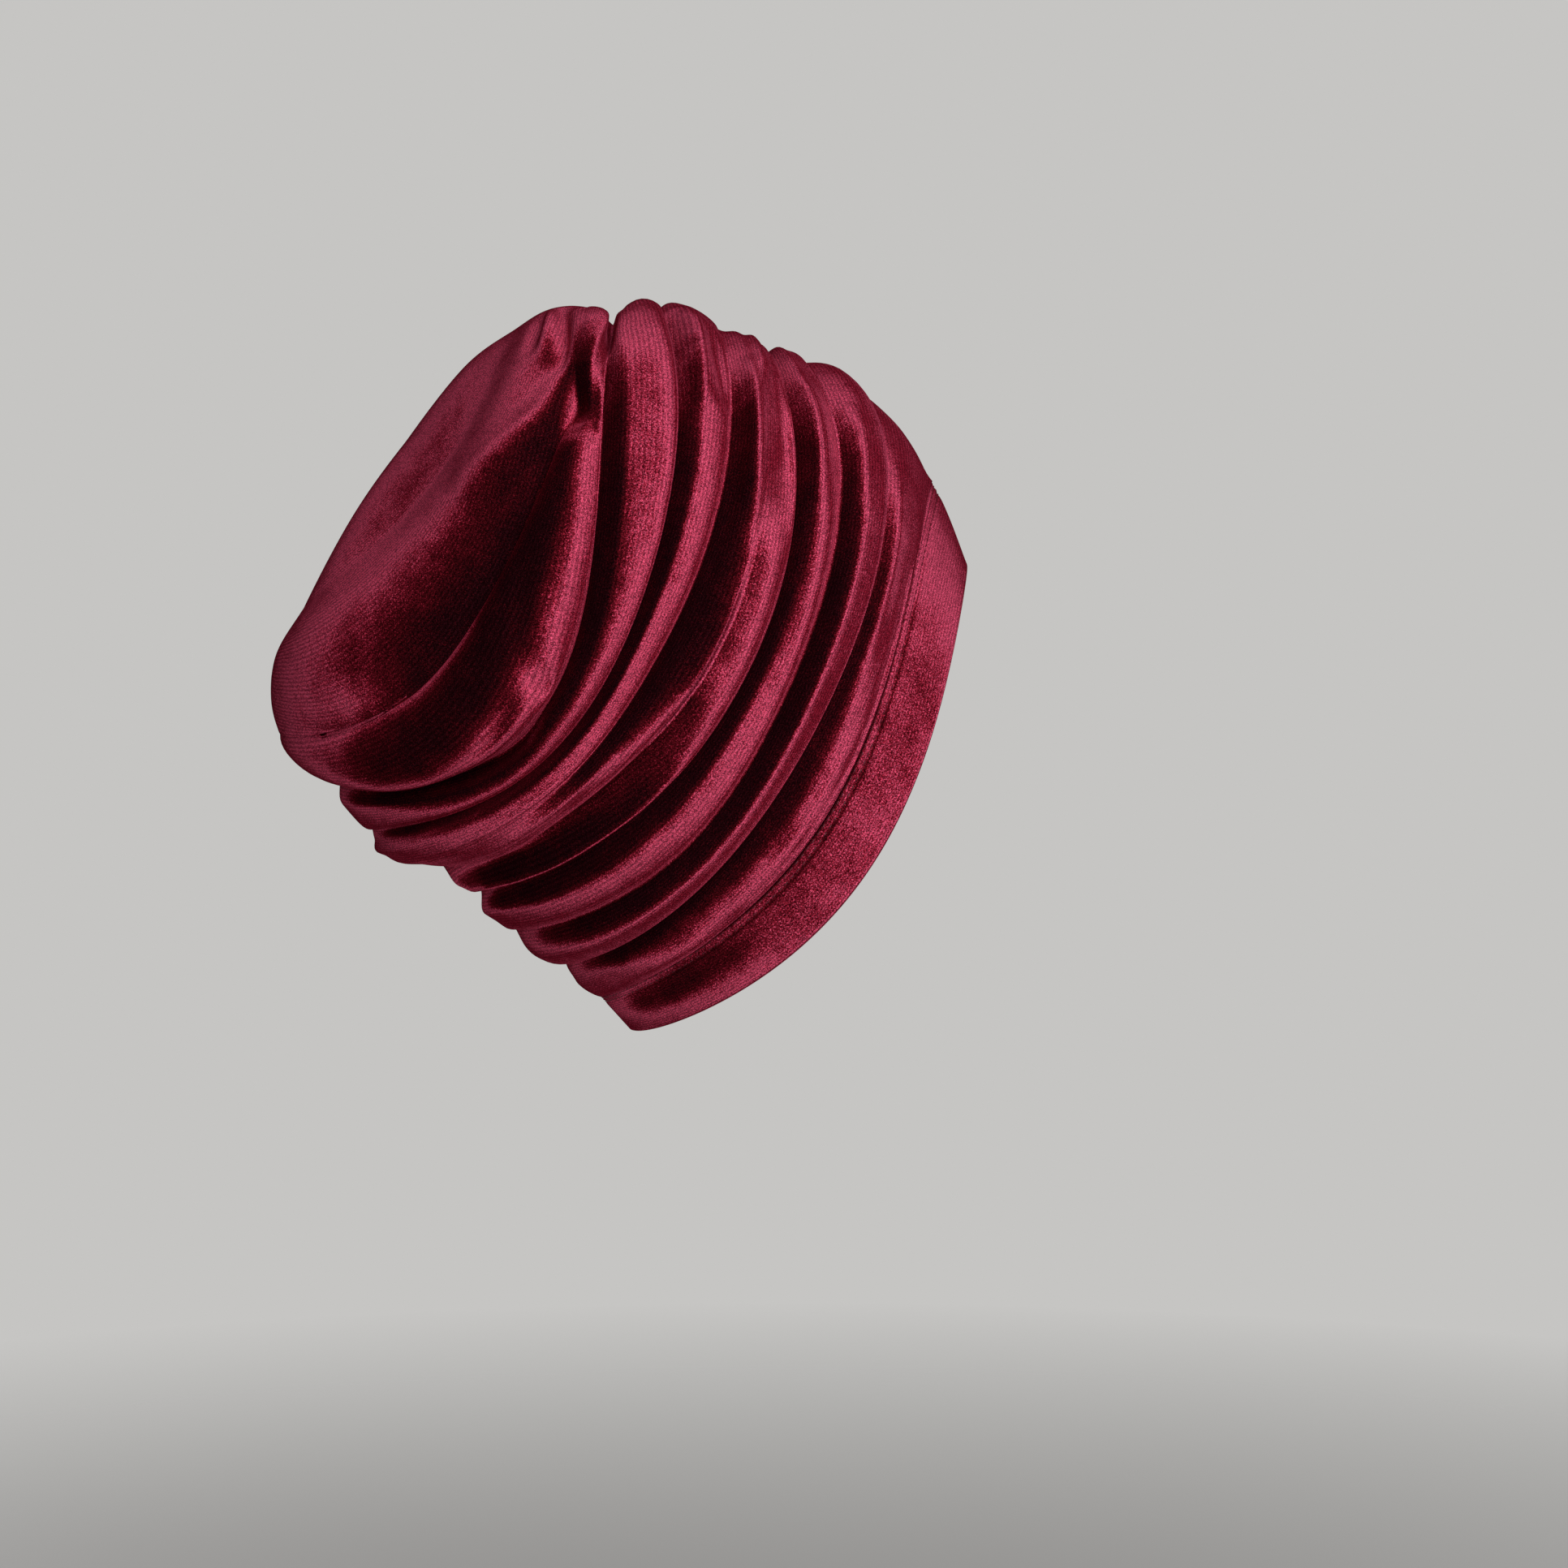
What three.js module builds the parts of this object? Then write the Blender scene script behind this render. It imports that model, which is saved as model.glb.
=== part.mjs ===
// Slouchy velvet beanie in its worn shape: a bag of cloth pushed into soft rolls round the head,
// pinched to a gather near the top, with a slouching tail and a doubled hem round the face and nape.
// Millimetres. +X is the front, +Y the wearer's left, +Z up.
// The origin is the middle of the opening that the head goes into.
import * as THREE from 'three';

// Rows of values as records with named columns.
function table(columns, rows) {
  return rows.map((row) => Object.fromEntries(row.map((value, i) => [columns[i], value])));
}

// Cloth
const CROWN_WALL = 1.6;
const BAND_WALL = 2.4;
const SEAM_GAP = 0.3;
const HEM_ROLL = 1.0;
const VELVET = { color: 0x7d1930, roughness: 0.8, metalness: 0.0 };
const HEM_VELVET = { color: 0x8a1e37, roughness: 0.8, metalness: 0.0 };

// Each crease between two rolls of cloth is a ring round the head, from the brim to the tail's middle.
// front and nape are where the crease crosses the middle of the hat, over the forehead and at the back.
// side moves its front end off the middle, and halfWidth is its reach to each side of the head.
// bulge is how far the ring sweeps forward beside the head, skew moves that sweep towards the nape,
// full makes that sweep blunter, and hook carries the ring on round the underside of the slouching tail.
// square widens the ring before and behind the ears.
const CREASES = table(
  [
    'name', 'frontX', 'frontZ', 'side', 'napeX', 'napeZ', 'halfWidth',
    'bulge', 'skew', 'full', 'hook', 'square',
  ],
  [
    ['brim', 56, 81, 0, -60, -79, 76, 29, 0.05, -0.2, 8, 0],
    ['hem top', 44, 109, 0, -70, -68, 80, 30, 0.15, -0.2, 0, 0.08],
    ['crease 7', 21, 138, 0, -82, -56, 82, 38, 0.02, 0.35, 0, 0.18],
    ['crease 6', -1, 150, 0, -99, -44, 85, 48, 0.03, 0.5, 0, 0.25],
    ['crease 5 low', -13, 153, 0, -111, -31, 87, 47, 0, 0.25, 0, 0.25],
    ['crease 5', -19, 155, 0, -124, -22, 88, 47, 0, 0.05, 0, 0.25],
    ['crease 4', -30, 161, 0, -142, -16, 89, 48, 0.06, 0.35, 0, 0.25],
    ['crease 3', -49, 168, -2, -148, -10, 89, 50, 0.13, 0.38, 0, 0.25],
    ['crease 2', -64, 162, -6, -160, 9, 86, 44, 0.22, 0.1, 24, 0.25],
    ['crease 1', -71, 162, -8, -179, 23, 78, 31, 0.12, 0.4, 10, 0.25],
    ['tail rim', -83, 167, -6, -180, 45, 65, 24, 0.1, 0.2, 5, 0.25],
    ['tail outer', -98, 161, -3, -172, 64, 45, 15, 0, 0, 0, 0.25],
    ['tail inner', -116, 149, 0, -155, 97, 23, 7, 0, 0, 0, 0.25],
    ['tail middle', -137, 123, 0, -137, 123, 0, 0, 0, 0, 0, 0.25],
  ],
);
const LAST = CREASES.length - 1;
const HEM_TOP = 1;
const HOOK_ROUNDING = 0.3;

// Each roll of cloth runs from one crease to another, both given by their places in the list above.
// Its height is given at five places round the head, and top is where its summit lies on the way across.
const PLACES = ['front', 'brow', 'side', 'ear', 'nape'];
const ROLLS = table(['name', 'start', 'end', ...PLACES, 'top'], [
  ['hem roll', 1, 2, 1, 6, 8, 7, 1.5, 0.42],
  ['roll 7', 2, 3, 1.5, 6, 8.5, 7.5, 1.5, 0.45],
  ['roll 6', 3, 4, 1.5, 6, 9, 8, 2, 0.45],
  ['roll 5', 4, 6, 2, 8.5, 10, 3, 0, 0.45],
  ['roll 5 low', 4, 5, 0, 0, 1, 7, 2, 0.45],
  ['roll 5 high', 5, 6, 0, 0, 1, 7, 2, 0.45],
  ['roll 4', 6, 7, 2.5, 6.5, 8.5, 7, 0.5, 0.5],
  ['roll 3', 7, 8, 5, 8, 9.5, 8.5, 3, 0.52],
  ['roll 2', 8, 9, 0.5, 4, 9, 1, 0, 0.48],
  ['tail edge', 8, 9, 0, 0, 1, 9, 4, 0.25],
  ['tail swell', 9, 11, 0, 0, 2, 7, 2, 0.35],
]);
const TALLEST_SHARE = 0.6;

// The gather draws the cloth in, and its pleats run out and die away along the cloth.
const GATHER = new THREE.Vector3(-63, -56, 146);
const PINCH = 0.3;
const PINCH_REACH = 12;
const PLEATS = 8;
const PLEAT_HEIGHT = 2.0;
const PLEAT_REACH = 22;
const PLEAT_START = 12;

// Grid
const COLUMNS = 46;
const FRONT_CROWDING = 0.15;
const ROWS_IN_ROLL = 5;
const ROWS_IN_PLAIN = 3;
const ROWS_IN_BAND = 4;
const LAST_ROW = LAST - 0.25;
const STEP = 1e-3;

// One point of a crease ring.
// angle is 0 at the front, a quarter turn on the wearer's right and half a turn at the nape.
function creasePoint(crease, angle) {
  const cos = Math.cos(angle);
  const sin = Math.sin(angle);
  const halfX = (crease.frontX - crease.napeX) / 2;
  const halfZ = (crease.frontZ - crease.napeZ) / 2;
  const half = Math.hypot(halfX, halfZ) || 1;
  const sideSweep = crease.bulge * sin * sin * (1 - 2 * crease.skew * cos + crease.full * cos * cos);
  const backward = (1 - cos) / 2;
  const hookSweep = (crease.hook * backward * backward * sin * sin) / Math.hypot(sin, HOOK_ROUNDING);
  const sweep = sideSweep + hookSweep;
  return new THREE.Vector3(
    crease.napeX + halfX * (1 + cos) + (halfZ / half) * sweep,
    -crease.halfWidth * sin * (1 + crease.square * cos * cos) + (crease.side * (1 + cos)) / 2,
    crease.napeZ + halfZ * (1 + cos) - (halfX / half) * sweep,
  );
}

// The smooth bag through all creases: a spline across the rings, at a fractional ring number.
// Past the middle of the tail it runs on down the opposite side.
function bagPoint(ring, angle) {
  const held = THREE.MathUtils.clamp(ring, 0, LAST);
  const below = Math.min(Math.floor(held), LAST - 1);
  const t = held - below;
  const [a, b, c, d] = [-1, 0, 1, 2].map((offset) => {
    const index = Math.max(below + offset, 0);
    if (index > LAST) return creasePoint(CREASES[LAST - 1], angle + Math.PI);
    return creasePoint(CREASES[index], angle);
  });
  const weights = [
    -t + 2 * t * t - t * t * t,
    2 - 5 * t * t + 3 * t * t * t,
    t + 4 * t * t - 3 * t * t * t,
    -t * t + t * t * t,
  ];
  const point = new THREE.Vector3();
  [a, b, c, d].forEach((knot, i) => point.addScaledVector(knot, weights[i] / 2));
  return point;
}

// Outward normal of a surface given as a function of ring and angle.
function normalOf(surface, ring, angle) {
  const low = THREE.MathUtils.clamp(ring - STEP, 0, LAST);
  const high = THREE.MathUtils.clamp(ring + STEP, 0, LAST);
  const along = surface(high, angle).sub(surface(low, angle));
  const across = surface(ring, angle + STEP).sub(surface(ring, angle - STEP));
  return along.cross(across).normalize();
}

// Height of a roll at an angle, eased between its five places and held to what its creases leave room for.
function rollHeight(roll, angle) {
  const turn = (Math.acos(Math.cos(angle)) / Math.PI) * (PLACES.length - 1);
  const before = Math.min(Math.floor(turn), PLACES.length - 2);
  const [from, to] = [roll[PLACES[before]], roll[PLACES[before + 1]]];
  const wanted = from + (to - from) * THREE.MathUtils.smoothstep(turn - before, 0, 1);
  const breadth = creasePoint(CREASES[roll.start], angle).distanceTo(creasePoint(CREASES[roll.end], angle));
  const room = TALLEST_SHARE * breadth;
  return (wanted * room) / Math.hypot(wanted, room);
}

// How far the cloth stands off the bag: each roll is a round arch, with its summit moved to its top.
function foldHeight(ring, angle) {
  let height = 0;
  ROLLS.forEach((roll) => {
    const way = (ring - roll.start) / (roll.end - roll.start);
    if (way <= 0 || way >= 1) return;
    const moved = way ** (Math.log(0.5) / Math.log(roll.top));
    height += rollHeight(roll, angle) * Math.sin(Math.PI * moved);
  });
  return height;
}

// Height of the pleats at a point near the gather.
function pleatHeight(point) {
  const away = point.clone().sub(GATHER);
  const distance = away.length();
  const swell = (distance / (distance + PLEAT_START)) * Math.exp(-((distance / PLEAT_REACH) ** 2));
  return PLEAT_HEIGHT * swell * Math.cos(PLEATS * Math.atan2(away.y, away.x));
}

// The folded cloth: the bag with its rolls and pleats, drawn in towards the gather.
function clothPoint(ring, angle) {
  const outward = normalOf(bagPoint, ring, angle);
  const point = bagPoint(ring, angle);
  point.addScaledVector(outward, pleatHeight(point) + foldHeight(ring, angle));
  return point.lerp(GATHER, PINCH * Math.exp(-((point.distanceTo(GATHER) / PINCH_REACH) ** 2)));
}

// Angles round a ring, closer together at the front where the cloth is gathered.
function columnAngle(column) {
  const turn = (2 * Math.PI * column) / COLUMNS;
  return turn - FRONT_CROWDING * Math.sin(turn);
}

// Ring numbers of the grid rows of the crown, with more rows in a roll than in plain cloth.
function crownRows() {
  const rows = [];
  for (let index = HEM_TOP; index < LAST; index += 1) {
    const rolled = ROLLS.some((roll) => roll.start <= index && index < roll.end);
    const count = rolled ? ROWS_IN_ROLL : ROWS_IN_PLAIN;
    for (let k = 0; k < count; k += 1) {
      rows.push(index + k / count);
    }
  }
  return [...rows, LAST_ROW];
}

// A loop of points round the hat, moved inward by the wall.
// The way inward lies between the cloth's own normal and the smooth bag's, so tight folds stay clear.
function loopAt(ring, wall) {
  const loop = [];
  for (let column = 0; column < COLUMNS; column += 1) {
    const angle = columnAngle(column);
    const outward = normalOf(clothPoint, ring, angle).add(normalOf(bagPoint, ring, angle));
    loop.push(clothPoint(ring, angle).addScaledVector(outward.normalize(), -wall));
  }
  return loop;
}

// Closed mesh from loops that follow each other.
// Each open end is closed by a cap point; with no cap points the last loop meets the first.
function meshFromLoops(loops, capPoints) {
  const positions = loops.flat();
  const triangles = [];
  const joined = capPoints.length ? loops.length - 1 : loops.length;
  for (let row = 0; row < joined; row += 1) {
    const next = (row + 1) % loops.length;
    for (let column = 0; column < COLUMNS; column += 1) {
      const right = (column + 1) % COLUMNS;
      const [a, b] = [row * COLUMNS + column, row * COLUMNS + right];
      const [c, d] = [next * COLUMNS + right, next * COLUMNS + column];
      triangles.push(a, c, b, a, d, c);
    }
  }
  capPoints.forEach((point, end) => {
    const centre = positions.push(point) - 1;
    const start = end === 0 ? 0 : (loops.length - 1) * COLUMNS;
    for (let column = 0; column < COLUMNS; column += 1) {
      const [a, b] = [start + column, start + ((column + 1) % COLUMNS)];
      triangles.push(...(end === 0 ? [centre, a, b] : [centre, b, a]));
    }
  });
  const geometry = new THREE.BufferGeometry().setFromPoints(positions);
  geometry.setIndex(triangles);
  geometry.computeVertexNormals();
  return geometry;
}

// Crown: the folded bag, from the hem to the middle of the tail, as a wall with an inner face.
function crownGeometry() {
  const rows = crownRows();
  const outer = rows.map((ring) => loopAt(ring, 0));
  const inner = rows.map((ring) => loopAt(ring, CROWN_WALL));
  const tip = bagPoint(LAST, 0);
  const innerTip = tip.clone().addScaledVector(normalOf(bagPoint, LAST_ROW, 0), -CROWN_WALL);
  return meshFromLoops([...inner.reverse(), ...outer], [innerTip, tip]);
}

// Hem band: the doubled edge from the brim to just below the crown, with a rolled lower edge.
function bandGeometry() {
  const height = bagPoint(HEM_TOP, Math.PI / 2).distanceTo(bagPoint(0, Math.PI / 2));
  const topRing = HEM_TOP - SEAM_GAP / height;
  const rows = Array.from({ length: ROWS_IN_BAND + 1 }, (_, k) => (topRing * k) / ROWS_IN_BAND);
  const outer = rows.map((ring) => loopAt(ring, 0));
  const inner = rows.map((ring) => loopAt(ring, BAND_WALL));
  const roll = outer[0].map((point, column) => {
    const down = point.clone().sub(outer[1][column]).normalize();
    return point.clone().lerp(inner[0][column], 0.5).addScaledVector(down, HEM_ROLL);
  });
  return meshFromLoops([roll, ...outer, ...inner.reverse()], []);
}

function clothMesh(name, geometry, finish) {
  const mesh = new THREE.Mesh(geometry, new THREE.MeshStandardMaterial(finish));
  mesh.name = name;
  return mesh;
}

const beanie = new THREE.Group();
beanie.add(clothMesh('crown', crownGeometry(), VELVET));
beanie.add(clothMesh('brim_band', bandGeometry(), HEM_VELVET));
export default beanie;
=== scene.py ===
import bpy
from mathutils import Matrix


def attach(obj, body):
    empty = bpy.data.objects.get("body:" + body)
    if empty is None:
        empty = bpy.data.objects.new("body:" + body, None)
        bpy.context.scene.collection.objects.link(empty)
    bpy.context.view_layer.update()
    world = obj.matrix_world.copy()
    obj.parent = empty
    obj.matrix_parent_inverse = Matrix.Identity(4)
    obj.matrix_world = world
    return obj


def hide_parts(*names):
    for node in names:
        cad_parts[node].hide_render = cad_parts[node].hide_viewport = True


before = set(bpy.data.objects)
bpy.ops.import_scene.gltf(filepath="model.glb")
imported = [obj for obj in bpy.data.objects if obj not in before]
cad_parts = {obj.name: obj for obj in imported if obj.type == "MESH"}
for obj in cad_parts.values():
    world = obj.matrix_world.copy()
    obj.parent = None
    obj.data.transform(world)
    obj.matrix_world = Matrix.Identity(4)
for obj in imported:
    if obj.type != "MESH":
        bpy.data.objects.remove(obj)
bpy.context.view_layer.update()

import math

import bpy
import numpy as np

# Crown
# A bag of stretch velvet, sewn up the centre back and pulled on long. It is pushed into soft rolls
# round the hat, pinched to a gather near the top, and its spare length slouches as a tail behind.
MM = 0.001
TINY = 1e-9
INWARD = -1.0
VELVET_THICKNESS = 1.3

# Each crease is a ring round the hat, listed from the brim to the middle of the tail, in millimetres.
# front and nape are where it crosses the middle of the hat, side moves its front end off the middle,
# and width is its reach to each side. bulge sweeps it forward at the sides, skew moves that sweep
# towards the nape, full makes it blunter, and hook carries it on under the slouching tail. square widens
# the ring towards its front and its back.
CREASES = np.array([
    ("brim",        56,  81,  0,  -60, -79, 76, 29, 0.05, -0.20,  8, 0.00),
    ("hem top",     44, 109,  0,  -70, -68, 80, 30, 0.15, -0.20,  0, 0.08),
    ("crease 7",    21, 138,  0,  -82, -56, 82, 38, 0.02,  0.35,  0, 0.18),
    ("crease 6",    -1, 150,  0,  -99, -44, 85, 48, 0.03,  0.50,  0, 0.25),
    ("crease 5b",  -13, 153,  0, -111, -31, 87, 47, 0.00,  0.25,  0, 0.25),
    ("crease 5",   -19, 155,  0, -124, -22, 88, 47, 0.00,  0.05,  0, 0.25),
    ("crease 4",   -30, 161,  0, -142, -16, 89, 48, 0.06,  0.35,  0, 0.25),
    ("crease 3",   -49, 168, -2, -148, -10, 89, 50, 0.13,  0.38,  0, 0.25),
    ("crease 2",   -64, 161, -6, -160,   9, 86, 44, 0.22,  0.10, 24, 0.25),
    ("crease 1",   -73, 167, -8, -179,  23, 78, 36, 0.12,  0.40, 10, 0.25),
    ("tail rim",   -85, 167, -6, -180,  45, 65, 24, 0.10,  0.20,  5, 0.25),
    ("tail outer", -98, 161, -3, -172,  64, 45, 15, 0.00,  0.00,  0, 0.25),
    ("tail inner", -116, 149, 0, -155,  97, 23,  7, 0.00,  0.00,  0, 0.25),
    ("tail middle", -137, 123, 0, -137, 123, 0,  0, 0.00,  0.00,  0, 0.25),
], dtype=[("name", "U12")] + [(column, float) for column in (
    "front_x", "front_z", "side", "nape_x", "nape_z", "width", "bulge", "skew", "full", "hook", "square")])
LAST = len(CREASES) - 1
HOOK_ROUNDING = 0.3


def crease_points(phi):
    """Every crease at every angle. cos carries the chord from front to nape, and sin (1 + square cos^2) the
    width. The forward sweep is bulge sin^2 (1 - 2 skew cos + full cos^2), and at the back the hook adds
    ((1 - cos)/2)^2 sin^2 / sqrt(sin^2 + rounding^2)."""
    cos, sin = np.cos(phi), np.sin(phi)
    column = {name: CREASES[name][:, None] for name in CREASES.dtype.names[1:]}
    half_x = (column["front_x"] - column["nape_x"]) / 2
    half_z = (column["front_z"] - column["nape_z"]) / 2
    half = np.maximum(np.hypot(half_x, half_z), TINY)
    sweep = column["bulge"] * sin**2 * (1 - 2 * column["skew"] * cos + column["full"] * cos**2)
    sweep = sweep + column["hook"] * ((1 - cos) / 2)**2 * sin**2 / np.hypot(sin, HOOK_ROUNDING)
    x = column["nape_x"] + half_x * (1 + cos) + half_z / half * sweep
    y = -column["width"] * sin * (1 + column["square"] * cos**2) + column["side"] * (1 + cos) / 2
    z = column["nape_z"] + half_z * (1 + cos) - half_x / half * sweep
    return np.stack([x, y, z], -1)


def bag_points(phi, ring):
    """The smooth bag through the creases: a Catmull-Rom spline across them at fractional ring numbers.
    Past the middle of the tail it runs on down the opposite side."""
    creases = crease_points(phi)
    opposite = crease_points(phi + math.pi)[LAST - 1]
    knots = np.concatenate([creases[:1], creases, opposite[None]])
    ring = np.clip(ring, 0, LAST)
    below = np.minimum(ring.astype(int), LAST - 1)
    t = (ring - below)[..., None]
    across = np.arange(len(phi))[None, :]
    a, b, c, d = (knots[below + step, across] for step in range(4))
    return b + t / 2 * (c - a + t * (2 * a - 5 * b + 4 * c - d + t * (3 * b - a - 3 * c + d)))


def outward(points, ring):
    """Unit normals of a closed band of points: the step along the rings crossed with the step round
    them."""
    along = np.gradient(points, ring, axis=0)
    across = np.roll(points, -1, axis=1) - np.roll(points, 1, axis=1)
    normal = np.cross(along, across)
    return normal / np.maximum(np.linalg.norm(normal, axis=-1, keepdims=True), TINY)


# Each roll of cloth runs from one crease to another. Its height is given at five places round the hat,
# from the front over the brow, side and ear to the nape. top is where its summit lies on the way,
# nose how far its rounded edge overhangs the first crease, and heel the same at the second crease.
ROLLS = np.array([
    ("hem roll", 1, 2,  1.2, 3.2, 4.5, 5.0, 2.5, 0.54, 0.04, 0.00),
    ("roll 7",   2, 3,  2.2, 8.0, 9.0, 8.5, 4.5, 0.46, 0.26, 0.00),
    ("roll 6",   3, 4,  2.5, 8.0, 9.0, 8.5, 5.0, 0.52, 0.08, 0.00),
    ("roll 5",   4, 6,  3.0, 9.5, 11.0, 2.0, 0.0, 0.52, 0.22, 0.00),
    ("roll 5b",  4, 5,  0.0, 0.0, 1.0, 8.0, 4.5, 0.34, 0.18, 0.00),
    ("roll 5a",  5, 6,  0.0, 0.0, 1.0, 1.5, 0.0, 0.58, 0.20, 0.00),
    ("roll 4",   6, 7,  3.0, 8.0, 9.0, 2.0, 0.0, 0.62, 0.08, 0.00),
    ("nape roll", 5, 7, 0.0, 0.0, 0.0, 8.0, 4.0, 0.36, 0.08, 0.00),
    ("roll 3",   7, 8,  5.0, 9.0, 10.5, 9.0, 5.0, 0.60, 0.30, 0.00),
    ("roll 2",   8, 9,  1.0, 5.0, 11.5, 1.0, 0.0, 0.42, 0.04, 0.10),
    ("tail edge", 8, 9, 0.0, 0.0, 1.0, 12.0, 5.0, 0.30, 0.10, 0.00),
    ("tail swell", 9, 11, 0.0, 1.5, 4.0, 5.0, 2.0, 0.30, 0.10, 0.00),
], dtype=[("name", "U12"), ("start", int), ("end", int)] + [(column, float) for column in (
    "front", "brow", "side", "ear", "nape", "top", "nose", "heel")])
PLACES = ("front", "brow", "side", "ear", "nape")

# A roll stays lower than this share of the straight way between its two creases.
ROLL_ROOM = 0.65

# Control points of a roll's section. Heights are shares of the roll's own, over the nose to the summit and
# down the back. The handles before and after the summit and above the second crease are shares of the way.
NOSE_HEIGHTS = np.array([[0.0], [0.4], [0.85], [1.0]])
BACK_HEIGHTS = np.array([[1.0], [1.08], [0.45], [0.0]])
NOSE_HANDLE = 0.3
BACK_HANDLE = 0.3
FOOT_HANDLE = 0.25


def round_the_hat(values, phi):
    """Carries values given at the five places round the hat, easing between them by 3t^2 - 2t^3."""
    turn = np.arccos(np.cos(phi)) / math.pi * (len(PLACES) - 1)
    before = np.minimum(turn.astype(int), len(PLACES) - 2)
    t = turn - before
    values = np.array(values)
    return values[before] + (values[before + 1] - values[before]) * t * t * (3 - 2 * t)


def roll_section(s, top, nose, heel):
    """Section of one roll, as the way along and the height for s from 0 to 1: a cubic Bezier curve from the
    first crease out over the rounded nose to the summit, and another down the back to the second crease."""
    front = s < 0.5
    t = np.where(front, 2 * s, 2 * s - 1)
    back = 1 - top
    foot = 1 + heel if heel else 1 - FOOT_HANDLE * back
    nose_ways = [[0.0], [-nose], [NOSE_HANDLE * top], [top]]
    back_ways = [[top], [top + BACK_HANDLE * back], [foot], [1.0]]
    ways = np.where(front, nose_ways, back_ways)
    heights = np.where(front, NOSE_HEIGHTS, BACK_HEIGHTS)
    weights = np.stack([(1 - t)**3, 3 * t * (1 - t)**2, 3 * t**2 * (1 - t), t**3])
    return (weights * ways).sum(0), (weights * heights).sum(0)


# Small folds and dents, each along a line from one place to another, given by ring number and by the angle
# from the front in degrees. breadth and height are in millimetres, and a dent has a negative height.
TUCKS = np.array([
    ("gather notch",  7.92,  14,  8.00,  36, 3.0, -4.5),
    ("gather knob",   8.85,  14,  8.70,  46, 8.0,  5.0),
    ("knob slit",     9.70,  14,  9.45,  46, 2.6, -4.5),
    ("gather pocket", 9.00,  44,  8.55,  58, 5.0, -7.5),
    ("first pleat",   9.95,  16,  9.80,  46, 2.6,  2.2),
    ("second slit",  10.15,  18, 10.10,  44, 2.4, -2.2),
    ("tail ridge",    9.20,  44, 10.30,  86, 7.0,  4.0),
    ("edge fill",     9.00, 122,  9.00, 179, 6.0,  3.0),
    ("curl slit",     6.88,  18,  6.92,  50, 3.0, -4.0),
    ("curl ridge",    6.66,  16,  6.50,  48, 4.0,  3.5),
    ("curl dent",     6.36,  22,  6.32,  46, 3.0, -4.0),
    ("short ridge",   5.55,  28,  5.00,  66, 4.5,  4.0),
    ("short dent",    4.80,  28,  4.70,  70, 4.0, -5.0),
    ("short crease",  5.05,  92,  5.00, 142, 3.5, -5.5),
    ("brow ridge",    3.40,  28,  3.55,  58, 3.0,  2.0),
    ("front ridge",   2.69,  30,  2.77,  56, 3.0,  2.0),
    ("dimple",        8.35, 103,  8.25, 109, 4.0, -4.0),
    ("tail gap",      7.85, 112,  7.85, 152, 5.0, -9.0),
    ("under tail",    8.75,  82,  8.47, 106, 2.0, -1.2),
    ("tail corner",   8.47, 106,  8.25, 138, 2.2, -1.8),
    ("hem ripple",    1.74,  34,  1.66,  75, 2.0,  1.2),
    ("hem line",      1.22,  36,  1.18, 136, 1.6, -1.6),
    ("second line",   1.42,  40,  1.36, 128, 1.5, -1.4),
    ("third line",    1.60,  52,  1.52, 118, 1.5, -1.0),
    ("nape fold",     1.16, 124,  1.54, 153, 4.0,  2.5),
    ("nape wrinkle",  3.84, 120,  3.76, 162, 3.0, -4.0),
    ("lip valley",    4.58, 100,  4.60, 174, 4.5, -10.0),
], dtype=[("name", "U14")] + [(column, float) for column in (
    "ring", "angle", "end_ring", "end_angle", "breadth", "height")])
TUCK_KNOTS = 7

# The far side has the same small folds, this many degrees further round and at this share of their height.
FAR_SHIFT = 7.0
FAR_SHARE = 0.8


def tuck_heights(bag):
    """Height of the small folds at points of the bag: each falls off as exp(-(distance/breadth)^2) from its
    line, and tapers to its ends as 4t (1 - t)."""
    height = np.zeros(bag.shape[:2])
    knot = np.linspace(0, 1, TUCK_KNOTS)
    for tuck in TUCKS:
        ring = tuck["ring"] + (tuck["end_ring"] - tuck["ring"]) * knot
        angle = np.radians(tuck["angle"] + (tuck["end_angle"] - tuck["angle"]) * knot)
        for turn, share in ((angle, 1.0), (-angle - math.radians(FAR_SHIFT), FAR_SHARE)):
            line = bag_points(turn, ring[None])[0]
            step = np.diff(line, axis=0)
            from_start = bag[:, :, None] - line[:-1]
            t = np.clip((from_start * step).sum(-1) / (step**2).sum(-1), 0, 1)
            gap = np.linalg.norm(from_start - t[..., None] * step, axis=-1)
            way = (np.arange(TUCK_KNOTS - 1) + t) / (TUCK_KNOTS - 1)
            swell = np.exp(-(gap / tuck["breadth"])**2) * 4 * way * (1 - way)
            height += share * tuck["height"] * swell.max(-1)
    return height


# Long low ripples run nearly along the rolls. Their rates are in radians to a ring and their turns in whole
# waves round the hat. They fade out where the tail begins.
RIPPLES = 14
RIPPLE_HEIGHT = 0.1
RIPPLE_SEED = 4
RIPPLE_RATES = (5, 16)
RIPPLE_TURNS = (1, 6)
SMOOTH_FROM = 8.5
SMOOTH_RATE = 4


def ripple_heights(ring, phi):
    """Sum of sine waves with many crests across the rings and few round the hat, divided by
    1 + exp(rate (ring - start of the tail))."""
    rng = np.random.default_rng(RIPPLE_SEED)
    across = rng.uniform(*RIPPLE_RATES, RIPPLES)
    around = rng.integers(*RIPPLE_TURNS, RIPPLES)
    start = rng.uniform(0, 2 * math.pi, RIPPLES)
    waves = sum(np.sin(a * ring[:, None] + n * phi[None] + s) for a, n, s in zip(across, around, start))
    return RIPPLE_HEIGHT * waves / (1 + np.exp(SMOOTH_RATE * (ring[:, None] - SMOOTH_FROM)))


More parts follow.
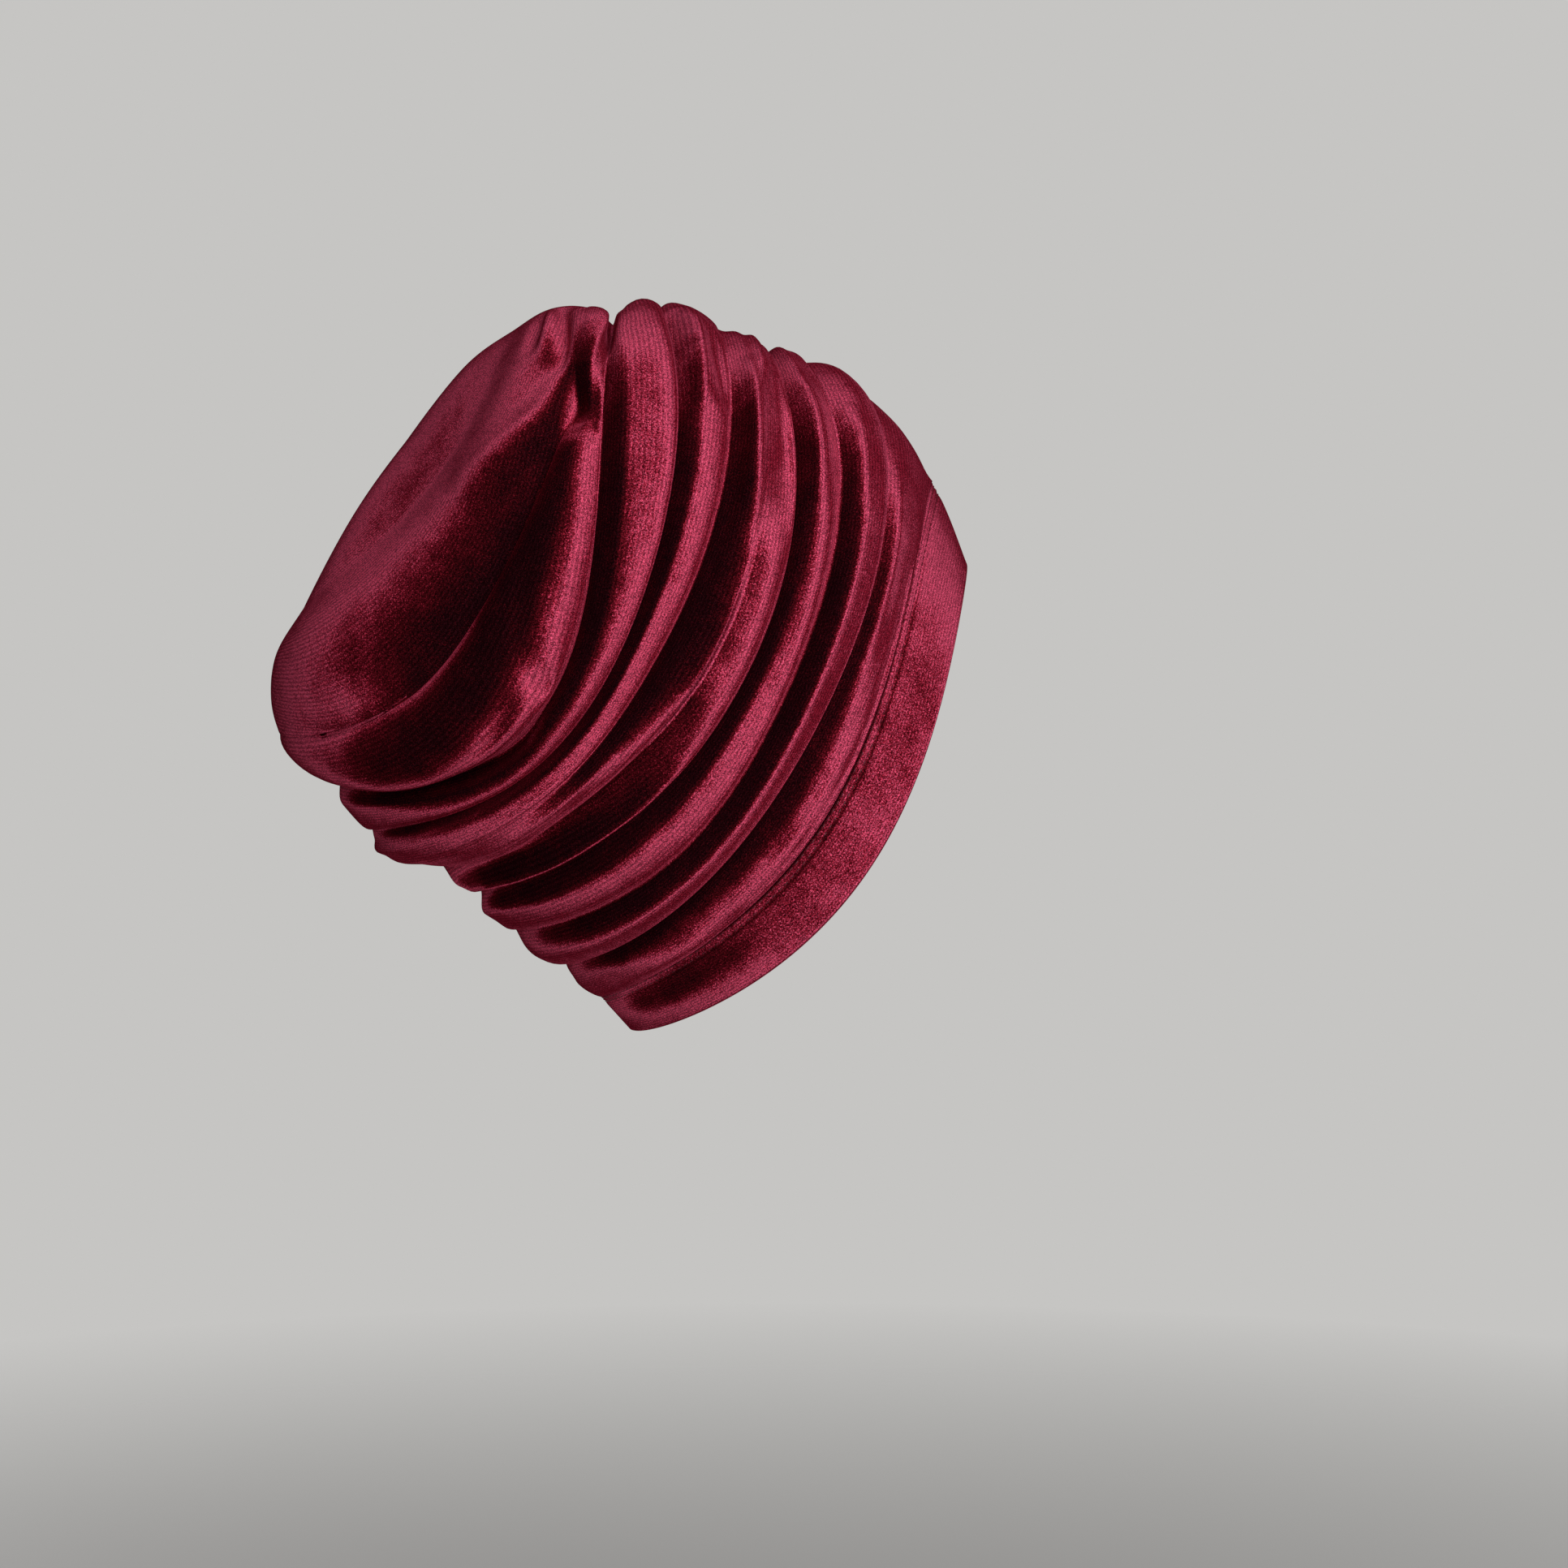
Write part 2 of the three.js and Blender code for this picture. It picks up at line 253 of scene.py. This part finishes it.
# The gather, near the top of the hat, draws the cloth around it in by this share.
GATHER = np.array([-63.0, -56.0, 146.0])
PINCH = 0.3
PINCH_REACH = 8.0


def crown_points(ring, phi):
    """The bag with its rolls, small folds and ripples pushed outward along its normal. A roll's height h is
    held by the room r that it has to h r / sqrt(h^2 + r^2). The gather then draws each point in by
    pinch exp(-(distance/reach)^2)."""
    creases = crease_points(phi)
    ring_grid = np.repeat(ring[:, None], len(phi), axis=1)
    bag = bag_points(phi, ring_grid)
    normal = outward(bag, ring)
    shift = np.zeros_like(ring_grid)
    height = tuck_heights(bag) + ripple_heights(ring, phi)
    for roll in ROLLS:
        span = roll["end"] - roll["start"]
        s = (ring - roll["start"]) / span
        inside = (s > 0) & (s < 1)
        way, rise = roll_section(s[inside], roll["top"], roll["nose"], roll["heel"])
        wanted = round_the_hat([roll[place] for place in PLACES], phi)
        room = ROLL_ROOM * np.linalg.norm(creases[roll["end"]] - creases[roll["start"]], axis=-1)
        tall = wanted * room / np.maximum(np.hypot(wanted, room), TINY)
        strength = tall / max(roll[place] for place in PLACES)
        height[inside] += rise[:, None] * tall
        shift[inside] += ((way - s[inside]) * span)[:, None] * strength
    points = bag_points(phi, ring_grid + shift) + normal * height[..., None]
    away = points - GATHER
    distance = np.linalg.norm(away, axis=-1)
    return points - away * (PINCH * np.exp(-(distance / PINCH_REACH)**2))[..., None]


# The pile leans towards the brim, by this much for each unit that it stands up, and the material reads its
# painted sheen from this lean. On the tail it turns over. In a few patches, each given by ring number and
# angle in degrees, the lean is set otherwise to paint shade into hollows, valleys and the undersides of the
# tail and rolls, and to paint light onto some faces and edges. sway is how far it then leans round the hat,
# from the nape towards the front.
PILE_LEAN = 0.8
TAIL_LEAN = -0.10
TURN_FROM = 9.0
TURN_REACH = 0.6
# Patches where the pile's lean is set to paint shade and light.
PAINTED_LIGHT_PATCHES = np.array([
    ("under the tail",    8.60, 138, 0.45, 18,  0.12, 0.4),
    ("tail corner",       9.05, 150, 0.40, 16, -0.60, 0.0),
    ("along the edge",    9.10, 114, 0.22, 20, -0.90, 0.0),
    ("tail hollow",       9.50, 104, 0.30, 14,  0.20, 0.0),
    ("edge of the tail",  9.00,  86, 0.07, 26,  1.60, 0.0),
    ("tail ridge",        9.50,  58, 0.40, 16, -0.50, 0.0),
    ("side of the tail",  9.55, 141, 0.32, 13, -1.10, 0.0),
    ("top of the tail",  11.60,  95, 0.90, 70,  0.20, 0.0),
    ("top of roll 3",     7.60,  38, 0.35, 16,  0.50, 0.0),
    ("face of roll 2",    8.42,  93, 0.20, 13,  1.30, 0.0),
    ("back of roll 3",    7.66, 146, 0.20, 24,  0.30, 1.0),
    ("under roll 3",      6.84, 146, 0.16, 22,  0.40, 0.9),
    ("lip valley",        4.46, 148, 0.26, 26,  0.20, 1.2),
    ("nape wrinkle",      3.76, 148, 0.17, 24,  0.40, 0.9),
    ("nape valley",       2.82, 142, 0.17, 22,  0.40, 0.9),
    ("hem valley",        1.84, 142, 0.16, 20,  0.40, 0.8),
    ("over the hem",      1.55,  58, 0.45, 32,  1.15, 0.0),
    ("hem by the ear",    0.40, 110, 0.80, 34,  1.04, 0.0),
    ("hem at the temple", 0.40,  58, 0.80, 20,  0.50, -0.5),
    ("hem at the nape",   0.62, 142, 0.28, 22,  0.40, 0.9),
    ("hem at the brow",   0.50,  30, 0.80, 26,  0.10, 0.0),
], dtype=[("name", "U18")] + [(column, float) for column in (
    "ring", "angle", "ring_reach", "angle_reach", "lean", "sway")])


def pile_nap_and_painted_light(ring, phi):
    """Lean and sway of the pile, which the painted sheen is read from: even up to the tail, where it turns
    over, and moved to the values of each patch of painted shade and light by exp(-(rings away/ring_reach)^2
    - (degrees away/angle_reach)^2). The two sides mirror each other."""
    lean = PILE_LEAN + (TAIL_LEAN - PILE_LEAN) * np.clip((ring - TURN_FROM) / TURN_REACH, 0, 1)
    lean = np.repeat(lean[:, None], len(phi), axis=1)
    sway = np.zeros_like(lean)
    degrees = np.degrees(np.arccos(np.cos(phi)))
    for patch in PAINTED_LIGHT_PATCHES:
        away = ((ring - patch["ring"]) / patch["ring_reach"])[:, None]**2
        share = np.exp(-away - ((degrees - patch["angle"]) / patch["angle_reach"])**2)
        lean += (patch["lean"] - lean) * share
        sway += (patch["sway"] - sway) * share
    return np.stack([lean, -np.sign(np.sin(phi)) * sway, np.zeros_like(lean)], -1)


# The mesh has columns round the hat, which start at the back seam, and so many rows from each crease to the
# next, from the top of the hem on.
COLUMNS = 256
FRONT_CROWDING = 0.3
BACK_SEAM = 171.0
ROWS_BETWEEN = (16, 14, 16, 12, 14, 16, 18, 18, 14, 12, 12, 10)
HEM_TOP = 1


def columns_round(count):
    """Angles round the hat, drawn closer together at the front, where the cloth is gathered: an even turn
    less crowding times its sine."""
    turn = math.radians(BACK_SEAM) + np.linspace(0, 2 * math.pi, count, endpoint=False)
    return turn - FRONT_CROWDING * np.sin(turn)


def cloth_object(name, points, nap, closed_tip=None, closed_section=False):
    """A mesh object from rows of points that close round the hat. The last row closes at an end point, or
    meets the first row where the section is closed. Its UV map runs round the hat and along the rows in
    metres, and each point carries its pile's lean and sway."""
    if closed_section:
        points = np.concatenate([points, points[:1]])
        nap = np.concatenate([nap, nap[:1]])
    rows, columns = points.shape[:2]
    corner = np.arange(rows - 1)[:, None] * columns + np.arange(columns)[None]
    right = np.arange(rows - 1)[:, None] * columns + (np.arange(columns)[None] + 1) % columns
    faces = np.stack([corner, corner + columns, right + columns, right], -1).reshape(-1, 4).tolist()
    row, column = np.mgrid[:rows - 1, :columns]
    rows_of = np.stack([row, row + 1, row + 1, row], -1).ravel()
    columns_of = np.stack([column, column, column + 1, column + 1], -1).ravel()
    verts = points.reshape(-1, 3)
    naps = nap.reshape(-1, 3)
    if closed_tip is not None:
        last = (rows - 1) * columns + np.arange(columns)
        fan = np.stack([last, np.full(columns, len(verts)), np.roll(last, -1)], -1)
        faces += fan.tolist()
        rows_of = np.append(rows_of, np.tile([rows - 1, rows, rows - 1], columns))
        columns_of = np.append(columns_of, (np.arange(columns)[:, None] + [0, 0.5, 1]).ravel())
        verts = np.concatenate([verts, closed_tip[None]])
        naps = np.concatenate([naps, naps[-1:]])
    mesh = bpy.data.meshes.new(name)
    mesh.from_pydata((verts * MM).tolist(), [], faces)
    mesh.polygons.foreach_set("use_smooth", np.ones(len(faces), bool))
    steps = np.linalg.norm(np.diff(points, axis=0), axis=-1).mean(1)
    along = np.concatenate([[0.0], np.cumsum(steps), [steps.sum() + steps[-1]]])
    girth = np.linalg.norm(points - np.roll(points, 1, axis=1), axis=-1).sum(1).max()
    uv = np.stack([columns_of / columns * girth, along[rows_of]], -1) * MM
    layer = mesh.uv_layers.new(name="cloth")
    layer.data.foreach_set("uv", uv.ravel())
    # The pile's lean and sway, from which the material paints its sheen, shade and light.
    pile = mesh.attributes.new("pile nap and painted light", "FLOAT_VECTOR", "POINT")
    pile.data.foreach_set("vector", naps.ravel())
    mesh.update()
    piece = bpy.data.objects.new(name, mesh)
    bpy.context.scene.collection.objects.link(piece)
    return piece


crown_rings = np.concatenate([
    np.arange(count) / count + HEM_TOP + i for i, count in enumerate(ROWS_BETWEEN)])
phi = columns_round(COLUMNS)
crown_grid = crown_points(crown_rings, phi)
tip = crease_points(phi)[LAST].mean(0)
crown = cloth_object("crown_cloth", crown_grid, pile_nap_and_painted_light(crown_rings, phi), closed_tip=tip)
wall = crown.modifiers.new("cloth wall", "SOLIDIFY")
wall.thickness = VELVET_THICKNESS * MM
wall.offset = INWARD


def linear(code):
    """Linear colour of an sRGB hex code."""
    srgb = np.array([int(code[i:i + 2], 16) for i in (1, 3, 5)]) / 255
    return (*np.where(srgb > 0.04045, ((srgb + 0.055) / 1.055)**2.4, srgb / 12.92), 1.0)


def add_node(tree, kind, inputs, **settings):
    """Adds a node, sets its own settings, and sets each input to a value or links it to a socket."""
    node = tree.nodes.new(kind)
    for name, value in settings.items():
        setattr(node, name, value)
    for socket, value in inputs.items():
        if isinstance(value, bpy.types.NodeSocket):
            tree.links.new(value, node.inputs[socket])
        else:
            node.inputs[socket].default_value = value
    return node


# Stretch velvet: short nylon pile on a knitted ground, which leans towards the brim. Its sheen is painted
# into its colour by the angle at which its fibres are seen: seen along them the pile is painted almost
# black, it is painted bright where they are seen from the side, and dull from behind. Each colour stands at
# how far across its fibres the pile is seen, from 0 to 1.
PILE_COLOURS_AND_PAINTED_SHEEN = np.array([
    ("deep",   0.04, "#280a10"),
    ("middle", 0.30, "#60101a"),
    ("warm",   0.43, "#ac263e"),
    ("lit",    0.56, "#f45c80"),
    ("edge",   0.95, "#8a1c30"),
], dtype=[("name", "U6"), ("across", float), ("colour", "U7")])
PILE_FINISH = {
    "Roughness": 0.6, "Specular IOR Level": 0.0,
    "Sheen Weight": 0.04, "Sheen Roughness": 0.4, "Sheen Tint": linear("#ff4f78")}

# Tufts and glints of real pile are about 0.1 mm across and the knitted ribs about 0.9 mm apart. All three
# are too fine to show, so they are drawn as coarse as they need to be; the glints are painted highlights
# that brighten and darken the colour. Patches are where the pile was pressed in wear. The shares say how
# far each moves the pile's colour or brightness.
TUFT_SIZE = 0.45 * MM
TUFT_SHARE = 0.15
TUFT_BUMP = 0.4
TUFT_DEPTH = 0.3 * MM
PATCH_SIZE = 9 * MM
PATCH_SHARE = 0.05
GLINT_SIZE = 0.38 * MM
GLINT_RANGE = (0.35, 0.7)
GLINT_GAIN = (0.45, 2.0)
RIB_PITCH = 1.25 * MM
RIB_SHARE = 0.26
RIB_WANDER = 1.5
RIB_WANDER_SCALE = 0.3

# Most of a noise lies in this range, and a wave texture of scale 1 has a band in this length.
NOISE_RANGE = (0.3, 0.7)
WAVE_BAND = math.pi / 10


def pile_direction(tree):
    """Which way the fibres point: the normal, plus lean times the way to the brim, plus sway times the way
    round the hat. The way to the brim is the normal crossed with the way round the hat."""
    surface = add_node(tree, "ShaderNodeNewGeometry", {})
    around = add_node(tree, "ShaderNodeTangent", {}, direction_type="UV_MAP", uv_map="cloth")
    brimward = add_node(tree, "ShaderNodeVectorMath", {
        0: surface.outputs["Normal"], 1: around.outputs["Tangent"]}, operation="CROSS_PRODUCT")
    nap = add_node(tree, "ShaderNodeAttribute", {}, attribute_name="pile nap and painted light")
    amount = add_node(tree, "ShaderNodeSeparateXYZ", {"Vector": nap.outputs["Vector"]})
    leaning = add_node(tree, "ShaderNodeVectorMath", {
        0: brimward.outputs["Vector"], 1: amount.outputs["X"], 2: surface.outputs["Normal"]},
        operation="MULTIPLY_ADD")
    swept = add_node(tree, "ShaderNodeVectorMath", {
        0: around.outputs["Tangent"], 1: amount.outputs["Y"], 2: leaning.outputs["Vector"]},
        operation="MULTIPLY_ADD")
    fibre = add_node(tree, "ShaderNodeVectorMath", {0: swept.outputs["Vector"]}, operation="NORMALIZE")
    return fibre.outputs["Vector"]


def pile_colour_and_painted_sheen(tree, place, tuft):
    """Colour of the pile with its painted sheen: how far across its fibres it is seen, plus the unevenness
    of patches and tufts, looked up in the table of colours."""
    # Painted sheen: the colour is picked by the angle at which the fibres are seen.
    across = add_node(tree, "ShaderNodeLayerWeight", {"Blend": 0.5, "Normal": pile_direction(tree)})
    patch = add_node(tree, "ShaderNodeTexNoise", {"Vector": place, "Scale": 1 / PATCH_SIZE, "Detail": 2.0})
    seen = across.outputs["Facing"]
    for noise, share in ((patch.outputs["Fac"], PATCH_SHARE), (tuft, TUFT_SHARE)):
        uneven = add_node(tree, "ShaderNodeMapRange", {
            "Value": noise, "From Min": NOISE_RANGE[0], "From Max": NOISE_RANGE[1],
            "To Min": -share, "To Max": share}, clamp=False)
        seen = add_node(tree, "ShaderNodeMath", {0: seen, 1: uneven.outputs["Result"]}).outputs["Value"]
    colour = add_node(tree, "ShaderNodeValToRGB", {"Fac": seen})
    stops = colour.color_ramp.elements
    for row in PILE_COLOURS_AND_PAINTED_SHEEN[1:-1]:
        stops.new(row["across"])
    for stop, row in zip(stops, PILE_COLOURS_AND_PAINTED_SHEEN):
        stop.position = row["across"]
        stop.color = linear(row["colour"])
    return colour.outputs["Color"]


def painted_glints_and_ribs(tree, place):
    """Brightness of the pile: that of its painted glints times that of the knitted ribs."""
    # Painted glints: a fine noise that brightens and darkens the colour.
    glints = add_node(tree, "ShaderNodeTexNoise", {"Vector": place, "Scale": 1 / GLINT_SIZE, "Detail": 1.0})
    glint = add_node(tree, "ShaderNodeMapRange", {
        "Value": glints.outputs["Fac"], "From Min": GLINT_RANGE[0], "From Max": GLINT_RANGE[1],
        "To Min": GLINT_GAIN[0], "To Max": GLINT_GAIN[1]}, interpolation_type="SMOOTHSTEP")
    cloth = add_node(tree, "ShaderNodeUVMap", {}, uv_map="cloth")
    ribs = add_node(tree, "ShaderNodeTexWave", {
        "Vector": cloth.outputs["UV"], "Scale": WAVE_BAND / RIB_PITCH, "Distortion": RIB_WANDER,
        "Detail": 1.0, "Detail Scale": RIB_WANDER_SCALE}, bands_direction="Y")
    rib = add_node(tree, "ShaderNodeMapRange", {
        "Value": ribs.outputs["Fac"], "To Min": 1 - RIB_SHARE, "To Max": 1 + RIB_SHARE})
    glint_and_rib_brightness = add_node(tree, "ShaderNodeMath", {
        0: glint.outputs["Result"], 1: rib.outputs["Result"]}, operation="MULTIPLY")
    return glint_and_rib_brightness.outputs["Value"]


def stretch_velvet(name):
    """Velvet: the pile's colour with its painted sheen, times its painted glints and ribs, with its tufts
    as bump.
    """
    material = bpy.data.materials.new(name)
    material.use_nodes = True
    tree = material.node_tree
    shader = tree.nodes["Principled BSDF"]
    place = add_node(tree, "ShaderNodeTexCoord", {}).outputs["Object"]
    tufts = add_node(tree, "ShaderNodeTexNoise", {
        "Vector": place, "Scale": 1 / TUFT_SIZE, "Detail": 1.0, "Roughness": 0.6})
    colour = pile_colour_and_painted_sheen(tree, place, tufts.outputs["Fac"])
    glint_and_rib_brightness = painted_glints_and_ribs(tree, place)
    shown = add_node(tree, "ShaderNodeVectorMath", {0: colour, 1: glint_and_rib_brightness}, operation="MULTIPLY")
    bump = add_node(tree, "ShaderNodeBump", {
        "Height": tufts.outputs["Fac"], "Strength": TUFT_BUMP, "Distance": TUFT_DEPTH})
    tree.links.new(shown.outputs["Vector"], shader.inputs["Base Color"])
    tree.links.new(bump.outputs["Normal"], shader.inputs["Normal"])
    for socket, value in PILE_FINISH.items():
        shader.inputs[socket].default_value = value
    return material


crimson_velvet = stretch_velvet("crimson stretch velvet")
crown.data.materials.append(crimson_velvet)
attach(crown, "root")
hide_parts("crown")

# Hem band
# The lower edge of the bag, turned under and topstitched, so it is a smooth band of doubled velvet.
# It is stretched round the opening, high at the front and low at the nape, and grips by its own pull.
BAND_THICKNESS = 2.2
BAND_ROWS = 26
BAND_TOP = 0.985
EDGE_ROWS = 6
STITCH_RINGS = (0.86, 0.95)
STITCH_GROOVE = 0.5
GROOVE_BREADTH = 0.025


def stitch_groove(ring):
    """Depth of the shallow groove along each stitch row: exp(-(rings away/breadth)^2) times its deepest."""
    depth = sum(STITCH_GROOVE * np.exp(-((ring - row) / GROOVE_BREADTH)**2) for row in STITCH_RINGS)
    return depth[:, None, None]


def band_points(ring, phi, depth):
    """The smooth bag between the brim and the top of the hem, moved inward along its normal by a depth."""
    points = bag_points(phi, np.repeat(ring[:, None], len(phi), axis=1))
    return points - outward(points, ring) * depth


def hem_section(phi):
    """Rows round the hem's section, with their ring numbers: down the inner face, round the lower edge in a
    half circle, and up the outer face."""
    ring = np.linspace(0, BAND_TOP, BAND_ROWS)
    outer = band_points(ring, phi, stitch_groove(ring))
    inner = band_points(ring, phi, BAND_THICKNESS)
    turn = np.linspace(0, math.pi, EDGE_ROWS + 2)[1:-1, None, None]
    middle = (outer[0] + inner[0]) / 2
    half = (outer[0] - inner[0]) / 2
    down = outer[0] - outer[1]
    down *= np.linalg.norm(half, axis=-1, keepdims=True) / np.linalg.norm(down, axis=-1, keepdims=True)
    edge = middle - half * np.cos(turn) + down * np.sin(turn)
    points = np.concatenate([inner[::-1], edge, outer])
    rings = np.concatenate([ring[::-1], np.zeros(EDGE_ROWS), ring])
    return points, rings


hem_points, hem_rings = hem_section(phi)
band = cloth_object("hem_band", hem_points, pile_nap_and_painted_light(hem_rings, phi), closed_section=True)
band.data.materials.append(crimson_velvet)
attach(band, "root")
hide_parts("brim_band")

# Hem stitching
# Two rows of twin needle stitching in crimson thread hold the turned hem. Each stitch is a short dash of
# thread that sinks into the velvet at both ends.
STITCH_LENGTH = 2.3
STITCH_PITCH = 2.9
STITCH_SIDES = 6
STITCH_STATIONS = 5
THREAD_RADIUS = 0.22
BLUNT_END = 0.06
PATH_STEPS = 2000
LOOK_ASIDE = 0.01
LOOK_AHEAD = 0.1


def along_row(at, walked, line):
    """A line of points or directions, read at distances walked along its row."""
    return np.stack([np.interp(at, walked, line[:, axis]) for axis in range(3)], -1)


def stitch_rows():
    """Thread dashes along each stitch row: each is a tube whose lift and radius follow the sine of the way
    along it, with the two ends a little short of nothing."""
    fine = np.linspace(0, 2 * math.pi, PATH_STEPS, endpoint=False)
    station = np.linspace(0, 1, STITCH_STATIONS)
    round_turn = np.linspace(0, 2 * math.pi, STITCH_SIDES, endpoint=False)[:, None]
    verts, faces = [], []
    for ring in STITCH_RINGS:
        near = np.array([ring - LOOK_ASIDE, ring, ring + LOOK_ASIDE])
        strip = band_points(near, fine, stitch_groove(near))
        normal = outward(strip, near)[1]
        path = np.concatenate([strip[1], strip[1][:1]])
        normal = np.concatenate([normal, normal[:1]])
        walked = np.concatenate([[0.0], np.cumsum(np.linalg.norm(np.diff(path, axis=0), axis=-1))])
        count = int(walked[-1] / STITCH_PITCH)
        at = (np.arange(count)[:, None] * walked[-1] / count + station * STITCH_LENGTH).ravel()
        centre = along_row(at, walked, path)
        up = along_row(at, walked, normal)
        side = np.cross(up, along_row(at + LOOK_AHEAD, walked, path) - centre)
        side /= np.maximum(np.linalg.norm(side, axis=-1, keepdims=True), TINY)
        swell = np.tile(np.sin(math.pi * np.clip(station, BLUNT_END, 1 - BLUNT_END)), count)
        lift = (centre + up * (THREAD_RADIUS * (2 * swell - 1))[:, None])[:, None]
        radius = (THREAD_RADIUS * np.sqrt(swell))[:, None, None]
        tube = lift + radius * (np.cos(round_turn) * side[:, None] + np.sin(round_turn) * up[:, None])
        first = sum(len(part) for part in verts)
        stitch, step, turn = np.mgrid[:count, :STITCH_STATIONS - 1, :STITCH_SIDES]
        here = first + (stitch * STITCH_STATIONS + step) * STITCH_SIDES
        ahead = here + STITCH_SIDES
        other = (turn + 1) % STITCH_SIDES
        faces.append(np.stack([here + turn, here + other, ahead + other, ahead + turn], -1).reshape(-1, 4))
        verts.append(tube.reshape(-1, 3))
    return np.concatenate(verts), np.concatenate(faces)


stitch_verts, stitch_faces = stitch_rows()
stitch_mesh = bpy.data.meshes.new("hem_stitching")
stitch_mesh.from_pydata((stitch_verts * MM).tolist(), [], stitch_faces.tolist())
stitching = bpy.data.objects.new("hem_stitching", stitch_mesh)
bpy.context.scene.collection.objects.link(stitching)

# Polyester thread: smooth, a little shiny, dyed to match the velvet. Its twisted plies give fine light and
# dark bands.
PLY_PITCH = 0.5 * MM
PLY_WANDER = 2.0
PLY_COLOURS = ("#5e1224", "#92283f")
THREAD_ROUGHNESS = 0.45


def spun_thread(name):
    """Thread: slanting bands of two colours, one to each ply."""
    material = bpy.data.materials.new(name)
    material.use_nodes = True
    tree = material.node_tree
    shader = tree.nodes["Principled BSDF"]
    place = add_node(tree, "ShaderNodeTexCoord", {}).outputs["Object"]
    twist = add_node(tree, "ShaderNodeTexWave", {
        "Vector": place, "Scale": WAVE_BAND / PLY_PITCH, "Distortion": PLY_WANDER},
        bands_direction="DIAGONAL")
    plies = add_node(tree, "ShaderNodeValToRGB", {"Fac": twist.outputs["Fac"]})
    for stop, code in zip(plies.color_ramp.elements, PLY_COLOURS):
        stop.color = linear(code)
    tree.links.new(plies.outputs["Color"], shader.inputs["Base Color"])
    shader.inputs["Roughness"].default_value = THREAD_ROUGHNESS
    return material


stitch_mesh.materials.append(spun_thread("crimson polyester thread"))
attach(stitching, "root")

# Stage
# A plain pale floor well below the hat, which fades into the pale backdrop, with soft studio light from
# three softboxes.
FLOOR_COLOUR = "#eceae7"
FLOOR_ROUGHNESS = 0.9
FLOOR_LEVEL = -0.36
FLOOR_RADIUS = 1.1
FLOOR_FADE_START = 0.35
FLOOR_SIDES = 64
turn = np.linspace(0, 2 * math.pi, FLOOR_SIDES, endpoint=False)
rim = np.stack([np.cos(turn), np.sin(turn), np.zeros_like(turn)], -1) * FLOOR_RADIUS
rim[:, 2] = FLOOR_LEVEL
floor_mesh = bpy.data.meshes.new("floor")
floor_mesh.from_pydata(rim.tolist(), [], [list(range(FLOOR_SIDES))])
floor = bpy.data.objects.new("floor", floor_mesh)
bpy.context.scene.collection.objects.link(floor)


def pale_paper(name):
    """Matt paper that is solid in the middle and fades to nothing at the floor's rim."""
    material = bpy.data.materials.new(name)
    material.use_nodes = True
    tree = material.node_tree
    shader = tree.nodes["Principled BSDF"]
    place = add_node(tree, "ShaderNodeTexCoord", {}).outputs["Object"]
    distance = add_node(tree, "ShaderNodeVectorMath", {0: place}, operation="LENGTH")
    fade = add_node(tree, "ShaderNodeMapRange", {
        "Value": distance.outputs["Value"], "From Min": FLOOR_FADE_START, "From Max": FLOOR_RADIUS,
        "To Min": 1.0, "To Max": 0.0})
    tree.links.new(fade.outputs["Result"], shader.inputs["Alpha"])
    shader.inputs["Base Color"].default_value = linear(FLOOR_COLOUR)
    shader.inputs["Roughness"].default_value = FLOOR_ROUGHNESS
    return material


floor_mesh.materials.append(pale_paper("pale floor"))

# The backdrop is seen at its full brightness and lights the hat only a little.
BACKDROP = "#c6c5c3"
BACKDROP_LIGHT = 0.1
world = bpy.data.worlds.new("pale room")
bpy.context.scene.world = world
world.use_nodes = True
background = world.node_tree.nodes["Background"]
background.inputs["Color"].default_value = linear(BACKDROP)
rays = add_node(world.node_tree, "ShaderNodeLightPath", {})
strength = add_node(world.node_tree, "ShaderNodeMapRange", {
    "Value": rays.outputs["Is Camera Ray"], "To Min": BACKDROP_LIGHT, "To Max": 1.0})
world.node_tree.links.new(strength.outputs["Result"], background.inputs["Strength"])

# The lights are all turned to the middle of the hat.
AIM = np.array([-0.06, 0.0, 0.05])


def softbox(name, place, size, power):
    """A square area light at a place, turned to the middle of the hat."""
    lamp = bpy.data.lights.new(name, "AREA")
    lamp.size = size
    lamp.energy = power
    box = bpy.data.objects.new(name, lamp)
    box.location = place
    back = np.array(place) - AIM
    tilt = math.acos(back[2] / np.linalg.norm(back))
    box.rotation_euler = (tilt, 0, math.atan2(back[1], back[0]) + math.pi / 2)
    bpy.context.scene.collection.objects.link(box)


softbox("key", place=(0.7, -1.4, 0.8), size=1.2, power=12.5)
softbox("front fill", place=(0.1, -1.7, 0.0), size=1.4, power=3)
softbox("back fill", place=(-0.7, 1.7, 0.5), size=1.4, power=8)

# Camera
# Level with the hat, at its right side, a metre away. HALF_VIEW is half of what the frame takes in there.
CAMERA = (-0.00672, -1.0, 0.00504)
HALF_VIEW = 0.27048
SENSOR_WIDTH = 36.0
lens = bpy.data.cameras.new("camera")
lens.sensor_width = SENSOR_WIDTH
lens.lens = SENSOR_WIDTH / 2 / HALF_VIEW
camera = bpy.data.objects.new("camera", lens)
camera.location = CAMERA
camera.rotation_euler = (math.pi / 2, 0, 0)
bpy.context.scene.collection.objects.link(camera)
bpy.context.scene.camera = camera
bpy.context.scene.view_settings.view_transform = "Standard"
